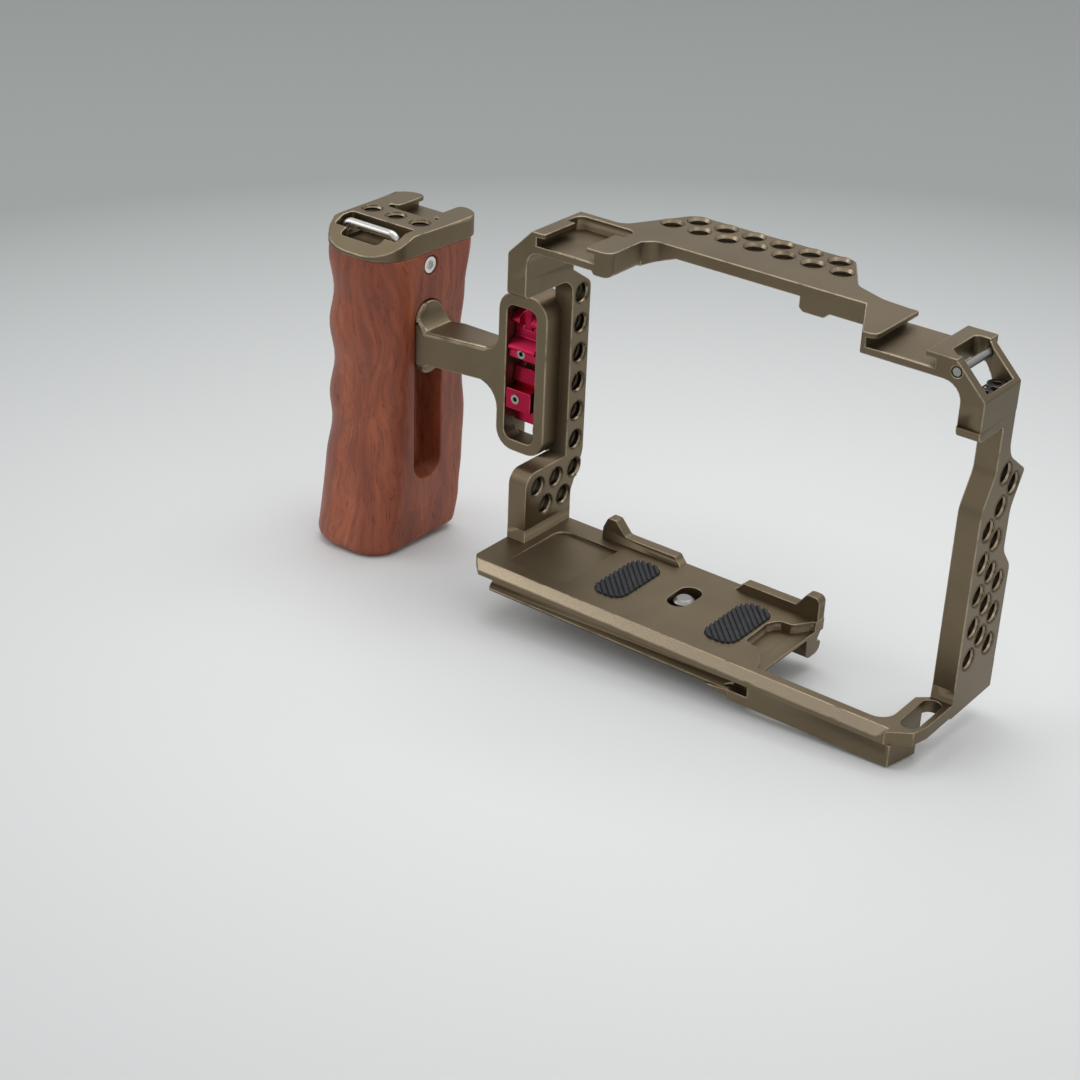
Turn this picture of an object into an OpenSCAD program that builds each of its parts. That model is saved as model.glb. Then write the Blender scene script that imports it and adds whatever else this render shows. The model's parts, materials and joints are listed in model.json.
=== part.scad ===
// Camera cage with a height-adjustable wooden side handle.
// Origin: axis of the camera screw, on the face that the camera stands on.
// +X runs towards the grip side, +Y towards the lens side, +Z up.

/* [Camera bay] */
// Clear width between the two posts
bay_w = 128.5; // [118:0.5:140]
// Distance from the camera screw to the left post
screw_to_left_post = 52; // [48:0.5:56]
// Clear height under the two cold shoes
bay_h = 89.4; // [86:0.2:100]
// Wall of both posts, across the cage
post_t = 6.4; // [6:0.1:8]
// Height of the bosses that the posts stand on
boss_h = 3.9; // [3:0.1:5]

/* [Base plate] */
// Edge on the operator's side, measured from the camera screw
base_near = 22.8; // [21:0.1:25]
// Edge on the lens side, measured from the camera screw
base_far = 16.3; // [15:0.1:18]
// Full plate, from the left end to the grip cut-out, right of the camera screw
plate_right = 35; // [33:0.5:38]
// Thickness of the upper flange
flange_t = 3.8; // [3.5:0.1:4.5]
// Depth of the quick-release dovetail below the camera face
dovetail_h = 8.4; // [8:0.1:9.5]
// Depth of the stiffening bar under the grip cut-out
bar_h = 10; // [9.5:0.1:12]
// Width of that bar
bar_w = 4.9; // [4:0.1:6]
// Wide bevel along the operator's edge
base_bevel = 2.2; // [1:0.1:2.5]
// Height of the lens-side lips
lip_h = 2.6; // [2:0.1:4]
// Height of the two tabs on those lips
tab_h = 6.7; // [5:0.1:8]
// Wall of the lips
lip_t = 3.4; // [3:0.1:4]

/* [Threaded holes] */
// Core diameter of the 1/4 inch accessory threads
thread_core = 5.2; // [5:0.05:5.4]
// Countersink at the mouth of each accessory thread
thread_mouth = 6.4; // [6.3:0.05:7]
// Pitch of the accessory holes in the left post
left_pitch = 9; // [8.5:0.1:9.4]
// Pitch of the accessory holes in the right post
right_pitch = 9.2; // [8.8:0.1:9.4]
// Pitch of the accessory holes in the top rail
top_pitch = 8.75; // [8.2:0.05:9]

/* [Cold shoes] */
// Gap between the two lips of a shoe
shoe_gap = 13.2; // [12.6:0.1:13.6]
// Width of the channel under the lips
shoe_channel = 18.6; // [18.4:0.1:19]
// Height of the channel under the lips
shoe_channel_h = 2.3; // [2.1:0.1:2.6]
// Thickness of the lips
shoe_lip_t = 1.4; // [1.2:0.1:2]
// Thickness of the shelf under each shoe
shelf_t = 2.2; // [2:0.1:3]

/* [Top frame] */
// Thickness of the rail between the shoes
rail_t = 3.4; // [3:0.1:4.5]
// Operator's edge of the shoes, measured from the camera screw
shoe_near = 8.6; // [8:0.1:10]
// Lens-side edge of the rail, measured from the camera screw
rail_far = 32.2; // [30:0.2:36]
// Width of the rail
rail_w = 24; // [22:0.2:26]
// Diameter of the strap pin
strap_pin_d = 2.2; // [2:0.1:3]

/* [Side arm] */
// Depth of the arm and its window frame
arm_depth = 10.2; // [9:0.1:11]
// Height of the arm between the frame and the handle
arm_h = 10.2; // [9:0.1:12]
// Length of the arm between the window frame and the handle
arm_reach = 27.5; // [24:0.1:40]
// Width of the foot that slides in the handle
foot_w = 11.8; // [11:0.1:13]
// Length of that foot, along the slot
foot_len = 22.5; // [20:0.5:26]
// Depth of that foot, into the handle
foot_depth = 7.9; // [6:0.1:9]

/* [Handle] */
// Width of the handle, across the cage
grip_w = 32; // [30:0.5:36]
// Depth of the handle at its top
grip_depth = 38; // [36:0.5:42]
// Height of the wooden grip
grip_h = 92.4; // [88:0.2:100]
// Height of the metal cap
cap_h = 6.3; // [6:0.1:8]
// Travel of the handle on the arm
handle_travel = 34.6; // [20:0.2:35]
// Depth of the finger waves
wave_depth = 1.4; // [0:0.05:1.8]
// Wood left between the foot and the bolt heads
web_t = 7; // [6:0.1:8]

/* [Fasteners] */
// Diameter of the bolts that clamp the handle
handle_bolt_d = 6; // [5:0.1:6.2]
// Distance between those two bolts
handle_bolt_pitch = 10.8; // [10.4:0.1:11.4]
// Diameter of the small assembly screws
screw_d = 2.5; // [2:0.1:2.6]
// Diameter of the camera screw
camera_screw_d = 6.35; // [6:0.05:6.4]
// Lift of the camera screw
camera_screw_lift = 4; // [3:0.1:4.5]

/* [Rubber pads] */
// Width of each pad
pad_w = 10.2; // [9:0.1:10.8]
// Length of each pad
pad_len = 22.6; // [18:0.2:23]
// Height of the ribs above the camera face
pad_rise = 0.6; // [0.4:0.1:1]
// Distance between ribs
rib_pitch = 1.5; // [1.3:0.1:2.6]

/* [Hidden] */

// Fits
run = 0.05;          // radial clearance of turning and sliding fits
slip = 0.1;          // clearance between faces that slide past each other
cut = 1;             // how far a cutting shape runs past a face
round_n = 6;         // straight pieces in a quarter round

// Levels and planes of the frame
left_in = -screw_to_left_post;
left_out = left_in - post_t;
right_in = left_in + bay_w;
right_out = right_in + post_t;
near_y = -base_near;
far_y = base_far;
shoe_y = -shoe_near;
shelf_z = bay_h;
floor_z = shelf_z + shelf_t;
lip_z = floor_z + shoe_channel_h;
top_z = lip_z + shoe_lip_t;
left_seam = top_z - 14.5;
right_seam = top_z - 16.3;
rail_near = rail_far - rail_w;

// Finishes
bronze = [0.36, 0.31, 0.23];
red = [0.62, 0.08, 0.18];
steel = [0.72, 0.72, 0.70];
wood = [0.47, 0.22, 0.14];
rubber = [0.12, 0.13, 0.14];

// A corner of an outline, rounded by the radius in its third number
function unit(v) = v / norm(v);
function turn(a) = a > 180 ? a - 360 : a < -180 ? a + 360 : a;
function corner(p, a, b, n = round_n) =
    len(p) < 3 || p[2] == 0 ? [[p[0], p[1]]] :
    let (q = [p[0], p[1]],
         u = unit([a[0], a[1]] - q),
         v = unit([b[0], b[1]] - q),
         half = acos(u * v) / 2,
         r = p[2],
         c = q + unit(u + v) * r / sin(half),
         s = q + u * r / tan(half) - c,
         e = q + v * r / tan(half) - c,
         a0 = atan2(s[1], s[0]),
         da = turn(atan2(e[1], e[0]) - a0))
    [for (i = [0:n]) c + r * [cos(a0 + da * i / n), sin(a0 + da * i / n)]];
function rounded(pts, n = round_n) =
    let (m = len(pts))
    [for (i = [0:m - 1])
        for (q = corner(pts[i], pts[(i + m - 1) % m], pts[(i + 1) % m], n)) q];

// Plates cut to a rounded outline, seen along Z, X or Y
module plate_xy(pts, z0, z1) {
    translate([0, 0, z0]) linear_extrude(z1 - z0) polygon(rounded(pts));
}
module plate_yz(pts, x0, x1) {
    translate([x0, 0, 0]) rotate([90, 0, 90])
        linear_extrude(x1 - x0) polygon(rounded(pts));
}
module plate_xz(pts, y0, y1) {
    translate([0, y1, 0]) rotate([90, 0, 0])
        linear_extrude(y1 - y0) polygon(rounded(pts));
}
module block(a, b) {
    translate(a) cube(b - a);
}

// Rods and bores along each axis
module rod_x(y, z, x0, x1, r) {
    translate([x0, y, z]) rotate([0, 90, 0]) cylinder(h = x1 - x0, r = r, $fn = 32);
}
module rod_y(x, z, y0, y1, r) {
    translate([x, y1, z]) rotate([90, 0, 0]) cylinder(h = y1 - y0, r = r, $fn = 32);
}
module rod_z(x, y, z0, z1, r) {
    translate([x, y, z0]) cylinder(h = z1 - z0, r = r, $fn = 32);
}

// Hole for an accessory thread through a wall of thickness t, along +Z,
// countersunk at both mouths
module accessory_hole(t) {
    sink = (thread_mouth - thread_core) / 2;
    translate([0, 0, -cut]) cylinder(h = t + 2 * cut, d = thread_core, $fn = 32);
    translate([0, 0, -0.01])
        cylinder(h = sink + 0.01, d1 = thread_mouth, d2 = thread_core, $fn = 32);
    translate([0, 0, t - sink])
        cylinder(h = sink + 0.01, d1 = thread_core, d2 = thread_mouth, $fn = 32);
}
module hole_x(y, z, x0, x1) {
    translate([x0, y, z]) rotate([0, 90, 0]) accessory_hole(x1 - x0);
}
module hole_z(x, y, z0, z1) {
    translate([x, y, z0]) accessory_hole(z1 - z0);
}

// Socket-head screw that points along +Z from the origin, head below it
module socket_screw(d, length, head_d, head_h, socket) {
    difference() {
        union() {
            cylinder(h = length, d = d, $fn = 32);
            translate([0, 0, -head_h]) cylinder(h = head_h, d = head_d, $fn = 32);
        }
        translate([0, 0, -head_h - cut])
            cylinder(h = head_h * 0.6 + cut, d = socket, $fn = 6);
    }
}

// ---------------------------------------------------------------- base plate
// The bosses that carry the posts
left_boss = [-5.2, far_y];
corner_cut = 3.8;
right_boss = [-0.6, 21.3];
corner_x = right_in - 2.9;
strap_slot_w = 5;
strap_slot = [corner_x + 5.1, -17.5, -1.5];
bar_end = 10.4;
pad_x = [-17.4, 19.1];
pad_y = -2.6;
pad_seat = 0.8;
web_far = far_y - 8.3;
web_near = near_y + 10.8;
web_x = 22;
socket_x = 14;
socket_y = -2;
stud_play = 0.12;
slot_travel = 2.7;
slot_floor = 4.2;
slot_web = 1.2;
head_r = 6;
left_screws = [-0.6, 8.45];
right_screws = [3, 17];
right_under = flange_t + 0.6;

screw_head_r = 2.3;
screw_head_h = 1.6;
left_seat_z = -flange_t + screw_head_h + 0.4;
right_seat_z = -right_under + screw_head_h + 0.4;

// Cross-section of the dovetail plate, from the operator's edge to the lens edge
module plate_section() {
    groove = 3;
    lip_edge = 0.9;
    plate_yz([[near_y + base_bevel, 0], [near_y, -base_bevel],
              [near_y, -flange_t], [far_y, -flange_t], [far_y, 0]],
             left_out, plate_right);
    intersection() {
        plate_yz([[near_y + 1, -flange_t + 0.5], [near_y + groove, -flange_t - 2.2],
                  [near_y + lip_edge, -dovetail_h + 1],
                  [near_y + lip_edge + 0.6, -dovetail_h],
                  [far_y - lip_edge - 0.6, -dovetail_h],
                  [far_y - lip_edge, -dovetail_h + 1],
                  [far_y - groove, -flange_t - 2.2],
                  [far_y - 1, -flange_t + 0.5]], left_in, plate_right);
        plate_xy([[left_in + 0.2, near_y, 2.5], [plate_right, near_y],
                  [plate_right, far_y], [left_in + 0.2, far_y, 2.5]],
                 -dovetail_h - cut, 0);
    }
}

// Flange around the grip cut-out and its stiffening bar
module corner_flange() {
    difference() {
        plate_xy([[plate_right - 5, near_y], [corner_x + 2.2, near_y],
                  [right_out - 1.2, near_y + 4.3], [right_out, near_y + 9.5],
                  [right_out, right_boss[1]],
                  [right_in, right_boss[1]], [right_in, right_boss[0]],
                  [corner_x, right_boss[0] - 2.6], [corner_x, near_y + bar_w, 4.5],
                  [plate_right - 5, near_y + bar_w]], -flange_t, 0);
        // The bevel runs out on a slant
        intersection() {
            plate_yz([[near_y - cut, cut], [near_y - cut, -base_bevel - cut],
                      [near_y + base_bevel + cut, cut]], plate_right - 6, corner_x + 4);
            plate_xz([[plate_right - 7, 2 * cut], [plate_right - 7, -base_bevel - 2 * cut],
                      [corner_x + 2 - base_bevel - 2 * cut, -base_bevel - 2 * cut],
                      [corner_x + 2 + 2 * cut, 2 * cut]], near_y - 2 * cut, 0);
        }
    }
    plate_xy([[plate_right - 5.5, near_y + 0.3], [corner_x + 3.9, near_y + 0.3],
              [corner_x + 6.2, near_y + bar_end], [corner_x, near_y + bar_end],
              [corner_x, near_y + bar_w, 4.5], [plate_right - 5.5, near_y + bar_w]],
             -bar_h, -flange_t);
    // Rib beside the strap slot
    block([corner_x, near_y + bar_end - 0.5, -bar_h + 1.6],
          [strap_slot[0] - strap_slot_w / 2, right_boss[0] - 2.8, -flange_t]);
    // Run-outs of the dovetail lips
    plate_xz([[plate_right - 13, -dovetail_h], [plate_right - 5, -bar_h],
              [plate_right - 4, -bar_h], [plate_right - 4, -dovetail_h + 1]],
             near_y + 1, near_y + bar_w);
    plate_yz([[web_far, -bar_h - 0.2, 2.4], [far_y - 0.9, -bar_h - 0.2, 2.4],
              [far_y - 0.9, -dovetail_h + 1.4, 0.6], [far_y - 3, -flange_t - 2.2],
              [web_far, -flange_t - 2.2]], plate_right - 8, plate_right);
}

module lens_lips() {
    lip_y = far_y - lip_t;
    left_lip = [-32.5, -9.9];
    right_lip = [7.6, plate_right - 0.2];
    plate_xz([[left_lip[0] - 5.2, -0.5], [left_lip[0] - 5, tab_h - 3.4, 2],
              [left_lip[0] - 3.4, tab_h, 1], [left_lip[0] - 0.6, tab_h, 1],
              [left_lip[0] + 3, lip_h, 2], [left_lip[1] - 2.4, lip_h, 1],
              [left_lip[1], -0.5]], lip_y, far_y);
    plate_xz([[right_lip[0], -0.5], [right_lip[0] + 3.2, lip_h, 1],
              [right_lip[1] - 7, lip_h, 1.5], [right_lip[1] - 4.2, tab_h, 1.5],
              [right_lip[1], tab_h, 1.8], [right_lip[1], -flange_t],
              [right_lip[1] - 7, -flange_t], [right_lip[1] - 7, -0.5]],
             lip_y, far_y);
}

// Recess beside the grip cut-out, thinned for the battery door
module battery_recess() {
    e = plate_right;
    plate_xy([[e - 9.6, -8.4, 1.5], [e - 5.4, -9.4, 2], [e - 2.4, -12.4, 2],
              [e + 1.2, -17.6], [e + 4, -17.6], [e + 4, far_y - lip_t - 1],
              [e - 1, far_y - lip_t - 1, 1], [e - 4.2, 6.7, 2],
              [e - 8.4, 6.2, 2.5], [e - 9.9, 3, 1.5]], -flange_t + 1, cut);
}

module obround_xy(x, y0, y1, w, z0, z1) {
    block([x - w / 2, y0 + w / 2, z0], [x + w / 2, y1 - w / 2, z1]);
    for (y = [y0 + w / 2, y1 - w / 2]) rod_z(x, y, z0, z1, w / 2);
}

module pad_outline(x, grow, z0, z1) {
    w = pad_w / 2 + grow;
    l = pad_len / 2 + grow;
    plate_xy([[x - w, pad_y - l, 4], [x + w, pad_y - l, 4],
              [x + w, pad_y + l, 4], [x - w, pad_y + l, 4]], z0, z1);
}

module base_plate() {
    stud_w = camera_screw_d + 2 * stud_play;
    neck_w = camera_screw_d - 1.2;
    color(bronze) difference() {
        union() {
            plate_section();
            corner_flange();
            lens_lips();
            block([left_out, left_boss[0], -0.5], [left_in, left_boss[1], boss_h]);
            block([right_in, right_boss[0], -right_under],
                  [right_out, right_boss[1], boss_h]);
        }
        // Corner of the plate on the operator's side
        plate_xy([[left_out - cut, near_y - cut],
                  [left_out + corner_cut + cut, near_y - cut],
                  [left_out - cut, near_y + corner_cut + cut]], -dovetail_h - cut, cut);
        // Lightened underside, around the web that holds the screw
        for (side = [[left_out + 8, -web_x], [web_x, plate_right + cut]])
            block([side[0], web_near, -dovetail_h - cut], [side[1], web_far, -flange_t]);
        // Rounded end of the dovetail groove
        rod_z(plate_right - 4, near_y - 1.9, -flange_t - 3.2, -flange_t, 5);
        // Camera screw: stud slot above, neck slot through the web, head below
        obround_xy(0, -slot_travel - stud_w / 2, slot_travel + stud_w / 2, stud_w,
                   -slot_floor, cut);
        obround_xy(0, -slot_travel - neck_w / 2, slot_travel + neck_w / 2, neck_w,
                   -slot_floor - slot_web - cut, -slot_floor + cut);
        obround_xy(0, -slot_travel - head_r - 0.4, slot_travel + head_r + 0.4,
                   2 * head_r + 0.8, -dovetail_h - cut, -slot_floor - slot_web);
        // Tripod sockets, open below
        for (x = [-socket_x, socket_x])
            rod_z(x, socket_y, -dovetail_h - cut, -flange_t + 1.8, thread_core / 2);
        // Seats of the rubber pads
        for (x = pad_x) pad_outline(x, 0, -pad_seat, cut);
        battery_recess();
        // Shallow hollow that fades out towards the operator
        translate([left_in + 2.8, far_y - 7.5, -0.7]) rotate([-1.6, 1.4, 0])
            plate_xy([[0, 0, 4], [0, -24], [20, -24], [20, 0]], 0, 5);
        // Strap slot in the corner
        obround_xy(strap_slot[0], strap_slot[1], strap_slot[2], strap_slot_w,
                   -flange_t, cut);
        obround_xy(strap_slot[0], near_y + bar_end, strap_slot[2], strap_slot_w,
                   -bar_h - cut, cut);
        // Assembly screws, from below
        for (y = left_screws) {
            rod_z((left_in + left_out) / 2, y, -dovetail_h - cut, boss_h + cut,
                  screw_d / 2 + run);
            rod_z((left_in + left_out) / 2, y, -dovetail_h - cut, left_seat_z,
                  screw_head_r + slip);
        }
        for (y = right_screws) {
            rod_z((right_in + right_out) / 2, y, -bar_h, boss_h + cut, screw_d / 2 + run);
            rod_z((right_in + right_out) / 2, y, -bar_h, right_seat_z,
                  screw_head_r + slip);
        }
    }
}

module rubber_pads() {
    step = rib_pitch / cos(45);
    n = floor((pad_len + pad_w) / 2 / step);
    color(rubber) for (x = pad_x) {
        pad_outline(x, -0.05, -pad_seat, 0.1);
        intersection() {
            pad_outline(x, -0.05, -pad_seat, pad_rise);
            for (k = [-n:n])
                translate([x, pad_y + k * step, 0]) rotate([0, 0, -45])
                    block([-14, -rib_pitch * 0.32, 0], [14, rib_pitch * 0.32, pad_rise + cut]);
        }
    }
}

// -------------------------------------------------------------------- posts
post_far = 21.4;
left_col_y = 17.4;
arm_plane = 13.1;
left_col_z = [for (k = [0:6]) 16 + k * left_pitch];
left_cluster = [[0.3, 16], [8.85, 16], [4.3, 9], [12.6, 9]];
left_head = left_seam - 5.4;

module left_post() {
    color(bronze) difference() {
        plate_yz([[left_boss[0], boss_h], [left_boss[0], 21.2, 4.2],
                  [arm_plane, 21.2], [arm_plane, left_head, 5],
                  [shoe_y, left_head, 1.5], [shoe_y, left_seam],
                  [12.9, left_seam], [12.9, left_seam - 2.6],
                  [post_far, left_seam - 8.2, 3], [post_far, 20, 8],
                  [far_y, 9, 4], [far_y, boss_h]], left_out, left_in);
        for (z = left_col_z) hole_x(left_col_y, z, left_out, left_in);
        for (p = left_cluster) hole_x(p[0], p[1], left_out, left_in);
        for (y = left_screws)
            rod_z((left_in + left_out) / 2, y, boss_h - cut, boss_h + 3.8, screw_d / 2 + run);
        for (y = top_left_y) {
            rod_z((left_in + left_out) / 2, y, left_head - cut, left_seam + cut,
                  screw_d / 2 + run);
            rod_z((left_in + left_out) / 2, y, left_head - cut,
                  left_head + screw_head_h + 0.3, screw_head_r + slip);
        }
        for (z = rail_screw_z)
            rod_x(rail_y + 2, z, left_out - cut, left_out + 4, screw_d / 2 + run);
    }
}

neck_near = 4.4;
neck_far = 10.3;
right_head = right_seam - 2.8;
right_col = [for (k = [0:4]) [4.8, 11.2 + k * right_pitch]];
right_mid = [for (k = [0:5]) [10.1, 11.2 + (k + 0.5) * right_pitch]];
right_out_col = [for (k = [0, 1, 2, 5]) [15.4, 11.2 + k * right_pitch]];

module right_post() {
    color(bronze) difference() {
        plate_yz([[right_boss[0], boss_h], [right_boss[0], 54.5, 7],
                  [neck_near, 63.5, 6], [neck_near, right_head, 1.5],
                  [shoe_y, right_head, 2], [shoe_y, right_seam],
                  [neck_far, right_seam], [neck_far, 66.9, 7], [21.2, 59.2, 1.2],
                  [16.2, 50, 8], [16.2, 38, 5], [right_boss[1], 32, 4],
                  [right_boss[1], boss_h]], right_in, right_out);
        for (p = concat(right_col, right_mid, right_out_col))
            hole_x(p[0], p[1], right_in, right_out);
        for (y = right_screws)
            rod_z((right_in + right_out) / 2, y, boss_h - cut, 8.3, screw_d / 2 + run);
        for (y = top_right_y)
            rod_z(top_right_x, y, right_head + 0.8, right_seam + cut, screw_d / 2 + run);
    }
}

// ---------------------------------------------------------------- top frame
left_shoe_x = -39.7;
right_shoe_x = right_in - 16.9;
slope = 7.8;
left_shoe_end = -24.9;
shoe_stop = 4.8;
shoe_end = 10.4;
diagonal = [right_shoe_x - 18.9, right_shoe_x - 10.6];
corner_far = 12.7;
right_face = shoe_y + 0.4;
pocket_near = shoe_y + 3.4;
pocket_far = 7.8;
top_left_y = [-4.5, 4.5];
top_right_x = (right_in + right_out) / 2 - 0.5;
top_right_y = [-1.6, 5.2];
seat_z = right_seam + 5.6;
pin_x = right_out - 8.3;
pin_z = top_z - 3.1;
top_near_row = [for (k = [0:6]) [-27.1 + k * top_pitch, rail_far - 9.75]];
top_far_row = [for (k = [0:5]) [-27.1 + (k + 0.5) * top_pitch, rail_far - 3.5]];

// Channel of a shoe and the gap over it, from its open face to y1
module shoe_channel_cut(x, face, y1) {
    block([x - shoe_channel / 2, face - cut, floor_z], [x + shoe_channel / 2, y1, lip_z]);
    block([x - shoe_gap / 2, face - cut, floor_z], [x + shoe_gap / 2, y1, top_z + cut]);
}

module rail_outline(z0, z1) {
    plate_xy([[left_shoe_x, 13], [left_shoe_x + 3.4, 13, 4],
              [left_shoe_x + 13.7, rail_far, 5], [diagonal[0] - 16.8, rail_far, 4],
              [diagonal[0] - 7.4, 17.2, 5], [diagonal[0] + 2, 13.4, 12],
              [right_shoe_x - 6, corner_far - 0.3], [right_shoe_x - 6, 3],
              [diagonal[0], rail_near - 0.2], [left_shoe_end + 2.4, rail_near - 0.2, 3],
              [left_shoe_end, 5], [left_shoe_end - 6, 5]], z0, z1);
}

module top_frame() {
    color(bronze) difference() {
        union() {
            // Left shoe, its outer wall and the arch under it
            plate_xz([[left_out, left_seam], [left_out, top_z - slope, 1.5],
                      [left_out + slope, top_z], [left_shoe_end, top_z],
                      [left_shoe_end, shelf_z - 1, 1.6], [left_shoe_x + 9.6, shelf_z - 1, 1],
                      [left_shoe_x + 8.8, shelf_z], [left_in, shelf_z, 4],
                      [left_in, left_seam]], shoe_y, 13);
            rail_outline(top_z - rail_t, top_z);
            // Ramp from the shoe's wall down to the thin rail
            intersection() {
                rail_outline(shelf_z - 2, top_z);
                plate_xz([[left_shoe_end - 6, shelf_z - 0.9],
                          [left_shoe_end, shelf_z - 0.9],
                          [left_shoe_end + 9, top_z - rail_t],
                          [left_shoe_end + 9, top_z], [left_shoe_end - 6, top_z]],
                         0, 16);
            }
            // Stiffener under the rail, before the right shoe
            plate_xz([[diagonal[0] - 18.8, top_z - rail_t], [diagonal[0] - 18.8, shelf_z - 0.4, 1],
                      [diagonal[0] - 17.5, shelf_z - 1.4, 1],
                      [diagonal[0] - 11.5, shelf_z - 1.4, 1],
                      [diagonal[0] - 9.8, shelf_z], [diagonal[0], shelf_z],
                      [diagonal[0], top_z - rail_t]], rail_near - 0.2, rail_near + 5.8);
            // Right shoe and the slanting wall on its left
            plate_xy([[diagonal[0], rail_near - 0.2], [diagonal[1], right_face, 0.8],
                      [right_in - 2, right_face], [right_in - 2, corner_far],
                      [diagonal[0], corner_far]], shelf_z + 0.2, top_z);
            // Corner over the right post
            plate_xz([[right_shoe_x + 9.4, shelf_z + 0.2], [right_in, shelf_z + 0.2, 5],
                      [right_in, right_seam], [right_out, right_seam],
                      [right_out, top_z - slope - 0.9, 0.8], [right_out - slope - 0.9, top_z, 4],
                      [right_shoe_x + 6, top_z]], right_face, 10.5);
            block([right_shoe_x + 6, 5, shelf_z + 0.2], [right_in - 5, corner_far, top_z]);
        }
        shoe_channel_cut(left_shoe_x, shoe_y, shoe_stop + 0.01);
        plate_xy([[left_shoe_x - shoe_channel / 2, shoe_stop],
                  [left_shoe_x + shoe_channel / 2, shoe_stop],
                  [left_shoe_x + shoe_channel / 2, shoe_end, 2.5],
                  [left_shoe_x - shoe_channel / 2, shoe_end, 2.5]], floor_z, top_z + cut);
        // Rounded corner of the left shoe's shelf
        difference() {
            block([left_shoe_end - 3, shoe_y - cut, shelf_z - 2],
                  [left_shoe_end + cut, shoe_y + 3, top_z + cut]);
            rod_z(left_shoe_end - 3, shoe_y + 3, shelf_z - 3, top_z + 2 * cut, 3);
        }
        shoe_channel_cut(right_shoe_x, right_face, corner_far + cut);
        for (p = concat(top_near_row, top_far_row))
            hole_z(p[0], p[1], top_z - rail_t, top_z);
        // Pocket of the strap pin, open to the bay below, and the screw seats
        plate_xy([[right_in - 6, -2.8], [right_in - 3.6, pocket_near],
                  [right_in, pocket_near], [right_in, pocket_far],
                  [right_in - 1, pocket_far, 0.5], [right_in - 2.6, 8.8],
                  [right_in - 6, 8.8, 1.5]], shelf_z - 4, top_z + cut);
        block([right_in - 0.01, pocket_near, seat_z], [right_out - 1.1, pocket_far, top_z]);
        rod_y(pin_x, pin_z, shoe_y - cut, 10.5 - 0.6, strap_pin_d / 2 + run);
        rod_y(pin_x, pin_z, shoe_y - cut, right_face + 0.7, strap_pin_d / 2 + 0.3);
        for (y = top_right_y)
            rod_z(top_right_x, y, right_seam - cut, seat_z + cut, screw_d / 2 + run);
        for (y = top_left_y)
            rod_z((left_in + left_out) / 2, y, left_seam - cut, left_seam + 6,
                  screw_d / 2 + run);
    }
}

module strap_pin() {
    color(steel) rod_y(pin_x, pin_z, right_face + 0.2, 10.5 - 0.7, strap_pin_d / 2);
}

// Assembly screws
module base_screws_left() {
    color(steel) for (y = left_screws)
        translate([(left_in + left_out) / 2, y, left_seat_z])
            socket_screw(screw_d, boss_h - left_seat_z + 3.4,
                2 * screw_head_r, screw_head_h, 1.6);
}
module base_screws_right() {
    color(steel) for (y = right_screws)
        translate([(right_in + right_out) / 2, y, right_seat_z])
            socket_screw(screw_d, boss_h - right_seat_z + 4,
                2 * screw_head_r, screw_head_h, 1.6);
}
module top_screws_left() {
    color(steel) for (y = top_left_y)
        translate([(left_in + left_out) / 2, y, left_head + screw_head_h + 0.3])
            socket_screw(screw_d, 9, 2 * screw_head_r, screw_head_h, 1.6);
}
module top_screws_right() {
    color(steel) for (y = top_right_y)
        translate([top_right_x, y, seat_z]) rotate([180, 0, 0])
            socket_screw(screw_d, 7.4, 5, 1.8, 2.4);
}

// ----------------------------------------------------------------- side arm
frame_near = 6.7;
frame_far = frame_near + arm_depth;
frame_right = left_out + 2.6;
frame_left = frame_right - 17.2;
frame_z = [20.4, 69];
window_x = [frame_left + 3, frame_right - 3.8];
window_z = [23.9, 65.1];
arm_z = 44.3;
back_x = left_out - 3.6;
grip_face = frame_left - arm_reach;
foot_y = frame_near + 2.2;
foot_z = arm_z + 1.5;
foot_x = [grip_face - foot_depth, grip_face];
land = 0.6;
arm_bolt_z = [left_col_z[1], left_col_z[5]];
bolt_z = [foot_z - handle_bolt_pitch / 2, foot_z + handle_bolt_pitch / 2];

module obround_yz(y, z, w, l, x0, x1) {
    block([x0, y - w / 2, z - (l - w) / 2], [x1, y + w / 2, z + (l - w) / 2]);
    for (s = [-1, 1]) rod_x(y, z + s * (l - w) / 2, x0, x1, w / 2);
}

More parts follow.
